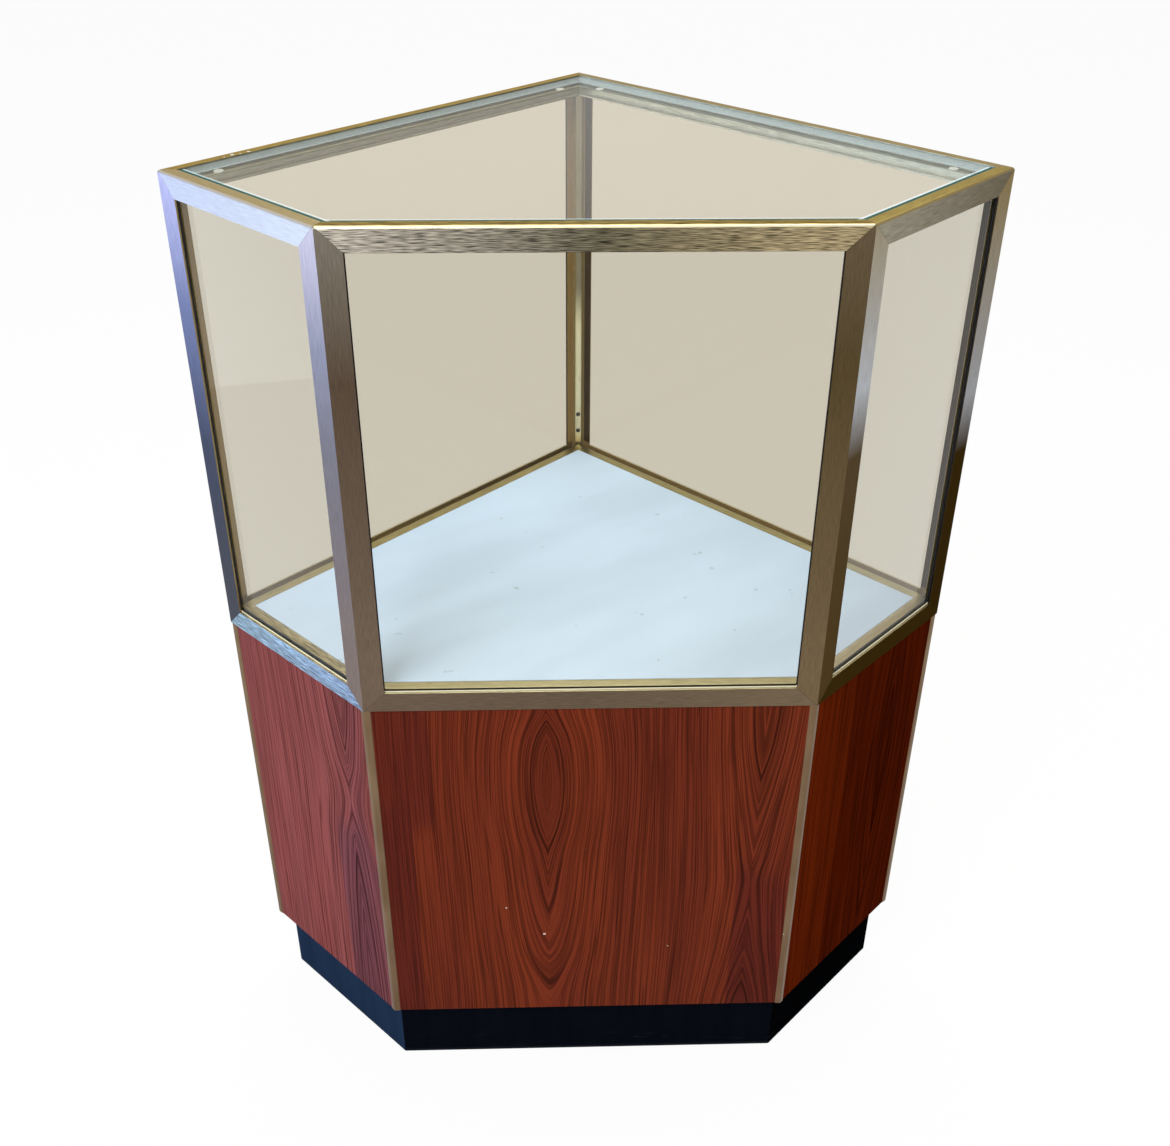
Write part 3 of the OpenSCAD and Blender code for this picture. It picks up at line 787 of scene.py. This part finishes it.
# Painted reflections and shade on the anodised metal, one list for each way a face is turned: (share of the
# length, colour), from the foot of a post to its top
FRONT_PAINTED_LIGHT = [(0.1, (0.17, 0.123, 0.086)), (0.72, (0.098, 0.067, 0.045)), (1.0, (0.20, 0.175, 0.14))]
FRONT_WARM = [(0.1, (0.17, 0.12, 0.064)), (0.75, (0.09, 0.062, 0.026)), (1.0, (0.125, 0.09, 0.052))]
LILAC = [
    (0.1, (0.25, 0.21, 0.21)),
    (0.6, (0.21, 0.22, 0.29)),
    (0.78, (0.26, 0.285, 0.41)),
    (1.0, (0.52, 0.52, 0.69)),
]
STEEL_BLUE = [
    (0.1, (0.075, 0.095, 0.14)),
    (0.45, (0.06, 0.085, 0.16)),
    (0.75, (0.155, 0.2, 0.4)),
    (1.0, (0.45, 0.49, 0.83)),
]
OLIVE = [
    (0.0, (0.065, 0.043, 0.022)),
    (0.56, (0.08, 0.058, 0.035)),
    (0.70, (0.46, 0.49, 0.53)),
    (1.0, (0.34, 0.29, 0.195)),
]
DARK_OLIVE = [
    (0.0, (0.009, 0.006, 0.005)),
    (0.42, (0.018, 0.013, 0.009)),
    (0.55, (0.35, 0.37, 0.41)),
    (1.0, (0.26, 0.2, 0.09)),
]
INNER_GOLD = [(0.0, (0.34, 0.23, 0.09)), (1.0, (0.36, 0.26, 0.12))]
INNER_CREAM = [
    (0.0, (0.86, 0.70, 0.42)),
    (0.38, (0.84, 0.69, 0.41)),
    (0.48, (0.27, 0.215, 0.13)),
    (1.0, (0.28, 0.235, 0.140)),
]
INNER_DARK = [(0.0, (0.03, 0.02, 0.012)), (1.0, (0.05, 0.038, 0.025))]
OUTER_REAR = [(0.0, (0.25, 0.20, 0.13)), (1.0, (0.27, 0.23, 0.165))]

# Each post's faces by the way they are turned, with their painted reflections and shade.
POST_WALLS = {
    "front_left": [(None, FRONT_PAINTED_LIGHT), (LEFT_OUT, LILAC), (RIGHT_OUT, INNER_GOLD)],
    "front_right": [(None, FRONT_WARM), (LEFT_OUT, LILAC), (RIGHT_OUT, OLIVE)],
    "right": [
        (None, FRONT_WARM),
        (LEFT_OUT, INNER_DARK),
        (RIGHT_OUT, DARK_OLIVE),
        (REAR_RIGHT_OUT, OUTER_REAR),
    ],
    "rear": [
        (None, INNER_CREAM),
        (LEFT_OUT, INNER_DARK),
        (RIGHT_OUT, INNER_GOLD),
        (REAR_RIGHT_OUT, OUTER_REAR),
        (REAR_LEFT_OUT, OUTER_REAR),
    ],
    "left": [
        (None, FRONT_PAINTED_LIGHT),
        (LEFT_OUT, STEEL_BLUE),
        (RIGHT_OUT, INNER_GOLD),
        (REAR_LEFT_OUT, OUTER_REAR),
    ],
}
POST_LEDGE = (0.236, 0.182, 0.070)

# Tones of the rails along their side, painted reflections and shade that differ from side to side: outer
# face, ledge, shelf, strength of the streaks, rounded rim, whose colour is a painted highlight
TOP_RAILS = {
    "front": ([(0.08, (0.40, 0.36, 0.30)), (0.5, (0.125, 0.11, 0.07)), (0.9, (0.34, 0.27, 0.15))],
              (0.205, 0.160, 0.062), (0.26, 0.25, 0.20), 0.74, (0.64, 0.57, 0.39)),
    "right": ([(0.1, (0.30, 0.28, 0.225)), (0.9, (0.165, 0.15, 0.115))],
              (0.295, 0.235, 0.085), (0.34, 0.34, 0.31), 0.20, (0.26, 0.20, 0.09)),
    "rear_right": ([(0.0, (0.60, 0.64, 0.60)), (1.0, (0.60, 0.64, 0.60))],
                   (0.290, 0.238, 0.130), (0.34, 0.355, 0.335), 0.20, (0.28, 0.23, 0.13)),
    "rear_left": ([(0.0, (0.20, 0.185, 0.12)), (1.0, (0.26, 0.24, 0.165))],
                  (0.315, 0.228, 0.066), (0.37, 0.335, 0.235), 0.25, (0.25, 0.18, 0.06)),
    "left": ([(0.1, (0.49, 0.57, 0.79)), (0.9, (0.56, 0.64, 0.79))],
             (0.360, 0.300, 0.170), (0.34, 0.34, 0.31), 0.09, (0.50, 0.46, 0.40)),
}
BOTTOM_RAILS = {
    "front": ([(0.1, (0.15, 0.107, 0.076)), (0.45, (0.132, 0.095, 0.063)), (0.9, (0.17, 0.125, 0.077))],
              (0.40, 0.36, 0.22), (0.26, 0.25, 0.20), 0.14, None),
    "right": ([(0.1, (0.024, 0.017, 0.010)), (0.9, (0.014, 0.010, 0.007))],
              (0.40, 0.34, 0.20), (0.2, 0.2, 0.2), 0.2, None),
    "rear_right": ([(0.0, (0.24, 0.18, 0.09)), (1.0, (0.24, 0.18, 0.09))],
                   (0.42, 0.38, 0.21), (0.2, 0.2, 0.2), 0.2, None),
    "rear_left": ([(0.0, (0.24, 0.18, 0.09)), (1.0, (0.24, 0.18, 0.09))],
                  (0.43, 0.375, 0.195), (0.2, 0.2, 0.2), 0.2, None),
    "left": ([(0.1, (0.30, 0.46, 0.63)), (0.9, (0.27, 0.38, 0.58))],
             (0.40, 0.35, 0.21), (0.2, 0.2, 0.2), 0.62, None),
}

# White scuffs on the rear left ledge, in millimetres: s, n and radius
SCUFFS = [(431, 9, 1.6), (440, 10, 1.2), (447, 8, 1.8), (456, 9, 1.0)]


def dress_frame():
    """Rails brushed along their side, posts brushed upright, all with fine rounded edges."""
    for corner in CORNER_NAMES:
        material = "champagne_post_" + corner
        ends = (frame_z, total_h)
        metal = champagne(material, UP, ends, POST_WALLS[corner], POST_LEDGE, POST_LEDGE, 0.12)
        dress("post_" + corner, metal)
        soften("post_" + corner, 0.35 * MM)
    for side, name in enumerate(SIDE_NAMES):
        axis = level(ALONG[side])
        first = float(CORNERS[side] @ ALONG[side])
        ends = (first, first + float(LENGTHS[side]))
        for rail, tones in (("top_rail_" + name, TOP_RAILS), ("bottom_rail_" + name, BOTTOM_RAILS)):
            outer, ledge, shelf, streaks, rim = tones[name]
            walls = [(None, outer), (REAR_LEFT_OUT, OUTER_REAR), (REAR_RIGHT_OUT, OUTER_REAR)]
            scuffs = []
            if rail == "top_rail_rear_left":
                scuffs = [((*plan_point(side, s * MM, n * MM), total_h), r * MM) for s, n, r in SCUFFS]
            material = "champagne_" + rail
            metal = champagne(material, axis, ends, walls, ledge, shelf, streaks, rim, scuffs)
            dress(rail, metal)
            soften(rail, 0.45 * MM)


PANE_TINTS = {
    "front": (0.970, 0.985, 0.975),
    "right": (0.950, 0.970, 0.968),
    "rear_right": (0.795, 0.753, 0.682),
    "rear_left": (0.795, 0.753, 0.682),
    "left": (0.950, 0.970, 0.968),
}


def dress_glass():
    """Panes, glass top, tape and blocks."""
    # The rear left's gold is a painted reflection of the metal, the rear right's dark brown painted shade.
    glued = {"rear_left": (0.66, 0.45, 0.17), "rear_right": (0.070, 0.040, 0.014)}
    # Cut edges: golden at the rear, painted light picked up through the sheet.
    dark_cut, golden_cut = (0.012, 0.020, 0.019), (0.40, 0.30, 0.13)
    for side, name in enumerate(SIDE_NAMES):
        across = level(INWARD[side])
        dress("pane_" + name, clear_glass("glass_" + name, across, PANE_TINTS[name], dark_cut, golden_cut))
        soften("pane_" + name, 0.5 * MM, 1)
        tape = soft_black("black_tape_" + name, 0.7, across, glued.get(name, (0.02, 0.018, 0.016)))
        dress("glazing_tape_" + name, tape)
    edge_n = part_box("glass_top")[0].y - low.y
    arris = []
    for side, share in ((0, 0.30), (1, 0.45), (4, 0.35)):
        place = float(CORNERS[side] @ INWARD[side]) + edge_n
        arris.append((level(INWARD[side]), place, share))
    # Edges of the top: teal, and silver at the rear, painted light picked up through the sheet.
    teal, silver = (0.012, 0.060, 0.052), (0.36, 0.43, 0.45)
    top = clear_glass("glass_of_top", UP, (1.0, 1.0, 0.972), teal, silver, 0.25, 0.009, arris)
    dress("glass_top", top)
    soften("glass_top", 0.7 * MM, 1)
    dress("setting_blocks", soft_black("black_rubber", 0.6))


def dress_base():
    """Laminate panels, kick boards, deck and the unseen wood."""
    plain = ((0.118, 0.0190, 0.0064), (0.072, 0.0106, 0.0064))
    # Per side: the left's purple cast is a painted reflection of blue light, the right's darker brown
    # painted shade.
    colours = {
        "left": ((0.182, 0.050, 0.048), (0.118, 0.041, 0.052)),
        "right": ((0.100, 0.0120, 0.0016), (0.045, 0.0046, 0.0008)),
    }
    # The left kick's navy is a painted reflection of blue light.
    kicks = {"front": (0.0028, 0.0036, 0.0064), "left": (0.0125, 0.026, 0.058)}
    strips = {
        "front": [
            (0.0, 0.058, 0.36, 0.5, 0.8),
            (0.0, 0.034, 0.05, 0.36, 0.9),
            (0.366, 0.43, 0.05, 0.28, 0.8),
        ],
        "left": [(0.145, 0.216, 0.05, 0.30, 0.8)],
        # The right side's strip is painted shade, darker towards the right corner.
        "right": [(0.075, 0.216, 0.05, 0.5, 0.7)],
    }
    chips = [(0.1665, 0.199, 1.7 * MM), (0.127, 0.2385, 0.9 * MM), (0.298, 0.177, 0.8 * MM)]
    for side, name in enumerate(SIDE_NAMES):
        base, dusk = colours.get(name, plain)
        material = cherry(
            "cherry_" + name,
            side,
            FIGURES[name],
            base,
            dusk,
            0.02 if name == "front" else 0.0,
            strips.get(name, ()),
            chips if name == "front" else (),
        )
        dress("base_panel_" + name, material)
        soften("base_panel_" + name, 0.3 * MM)
        dress("kick_" + name, black_kick(name, kicks.get(name, (0.0013, 0.0015, 0.0019))))
        soften("kick_" + name, 0.4 * MM)
    dress("deck_board", pale_deck())
    soften("deck_board", 0.4 * MM)
    softwood = bare_wood("bare_softwood", (0.60, 0.42, 0.24), (0.42, 0.26, 0.13), UP)
    for name in ("corner_blocks", "kick_blocks", "top_cleats"):
        dress(name, softwood)
    dress("base_floor", bare_wood("raw_board", (0.52, 0.39, 0.26), (0.38, 0.27, 0.17), (1.0, 0.0, 0.0)))


def dress_hardware():
    """Keys, screws, bumpers and corner trims."""
    cast = plain_metal("cast_alloy", (0.55, 0.55, 0.56), 0.4)
    for name in ("corner_keys_top", "corner_keys_bottom"):
        dress(name, cast)
    dress("frame_screws", plain_metal("zinc_plate", (0.60, 0.61, 0.63), 0.28))
    key_screws(plain_metal("dark_steel", (0.085, 0.075, 0.07), 0.32))
    bumpers(clear_bumper())
    trim = bronze_trim()
    for corner in range(5):
        corner_trim(corner, trim)


# Stage, light and camera ----------------------------------------------------


def seen_share(finish):
    """1 for rays from the camera, a mirror or through glass, 0 for rays that carry light."""
    path = finish.add("ShaderNodeLightPath").socket.node
    seen = Value(finish, path.outputs["Is Camera Ray"])
    seen = seen.most(Value(finish, path.outputs["Is Glossy Ray"]))
    return seen.most(Value(finish, path.outputs["Is Transmission Ray"]))


def floor():
    """A wide plain floor that looks white and keeps a soft shadow."""
    f = Finish("stage_floor")
    matt = f.plain("BsdfDiffuse", (0.80, 0.80, 0.80))
    white = f.plain("Emission", (1.0, 1.0, 1.0), Strength=1.0)
    material = f.done(f.blend(seen_share(f) * 0.95, matt, white))
    half = 9.0
    corners = [(-half, -half, 0), (half, -half, 0), (half, half, 0), (-half, half, 0)]
    mesh = bpy.data.meshes.new("stage_floor")
    mesh.from_pydata(corners, [], [(0, 1, 2, 3)])
    mesh.materials.append(material)
    made = placed("stage_floor", mesh)


def surround():
    """White wherever it is seen, and a softer even light on the object."""
    world = bpy.data.worlds.new("surround")
    bpy.context.scene.world = world
    world.use_nodes = True
    world.node_tree.nodes.clear()
    f = Finish.__new__(Finish)  # it has the world's nodes and no material
    f.tree = world.node_tree
    seen = seen_share(f)
    light = f.plain("Background", (0.93, 0.96, 1.0), Strength=0.50)
    white = f.plain("Background", (1.0, 1.0, 1.0), Strength=1.0)
    f.add("ShaderNodeOutputWorld", None, {"Surface": f.blend(seen, light, white)})


def softbox(name, place, target, size, watts, colour=(1.0, 1.0, 1.0)):
    """A rectangular soft lamp that points at a target."""
    lamp = bpy.data.lights.new(name, "AREA")
    lamp.shape = "RECTANGLE"
    lamp.size, lamp.size_y = size
    lamp.energy = watts
    lamp.color = colour
    made = placed(name, lamp)
    made.location = place
    away = Vector(place) - Vector(target)
    made.rotation_euler = away.to_track_quat("Z", "Y").to_euler()


def camera():
    """Camera above the front, looking down at the case, level to within half a degree."""
    yaw, pitch, roll = -0.0327539, 0.5670920, 0.0064639  # radians
    eye = Vector((-0.0396147, -1.2602611, 1.2915489))
    focal_length, picture_width = 1350.486, 1170  # pixels
    right = Vector((1, 0, 0))
    ahead = Vector((0, math.cos(pitch), -math.sin(pitch)))
    above = Vector((0, math.sin(pitch), math.cos(pitch)))
    turn = Matrix.Rotation(yaw, 3, "Z")
    right, ahead, above = turn @ right, turn @ ahead, turn @ above
    across = math.cos(roll) * right + math.sin(roll) * above
    upward = -math.sin(roll) * right + math.cos(roll) * above
    lens = bpy.data.cameras.new("camera")
    lens.sensor_fit = "HORIZONTAL"
    lens.sensor_width = 36.0
    lens.lens = focal_length / picture_width * lens.sensor_width
    lens.clip_end = 60.0
    pose = Matrix((across, upward, -ahead)).transposed().to_4x4()
    pose.translation = eye
    made = placed("camera", lens)
    made.matrix_world = pose
    bpy.context.scene.camera = made


dress_frame()
dress_glass()
dress_base()
dress_hardware()

floor()
surround()
softbox("key", (-1.4, -2.2, 2.6), (0, 0, 0.6), (1.8, 1.4), 85)
softbox("overhead", (0.2, 0.6, 2.9), (0, 0, 0.6), (2.2, 2.0), 55, (1.0, 0.95, 0.86))
softbox("window", (-2.1, 0.25, 0.30), (-0.3, -0.15, 0.75), (1.3, 0.6), 1.6, (0.95, 0.98, 1.0))
camera()
bpy.context.scene.view_settings.view_transform = "Standard"
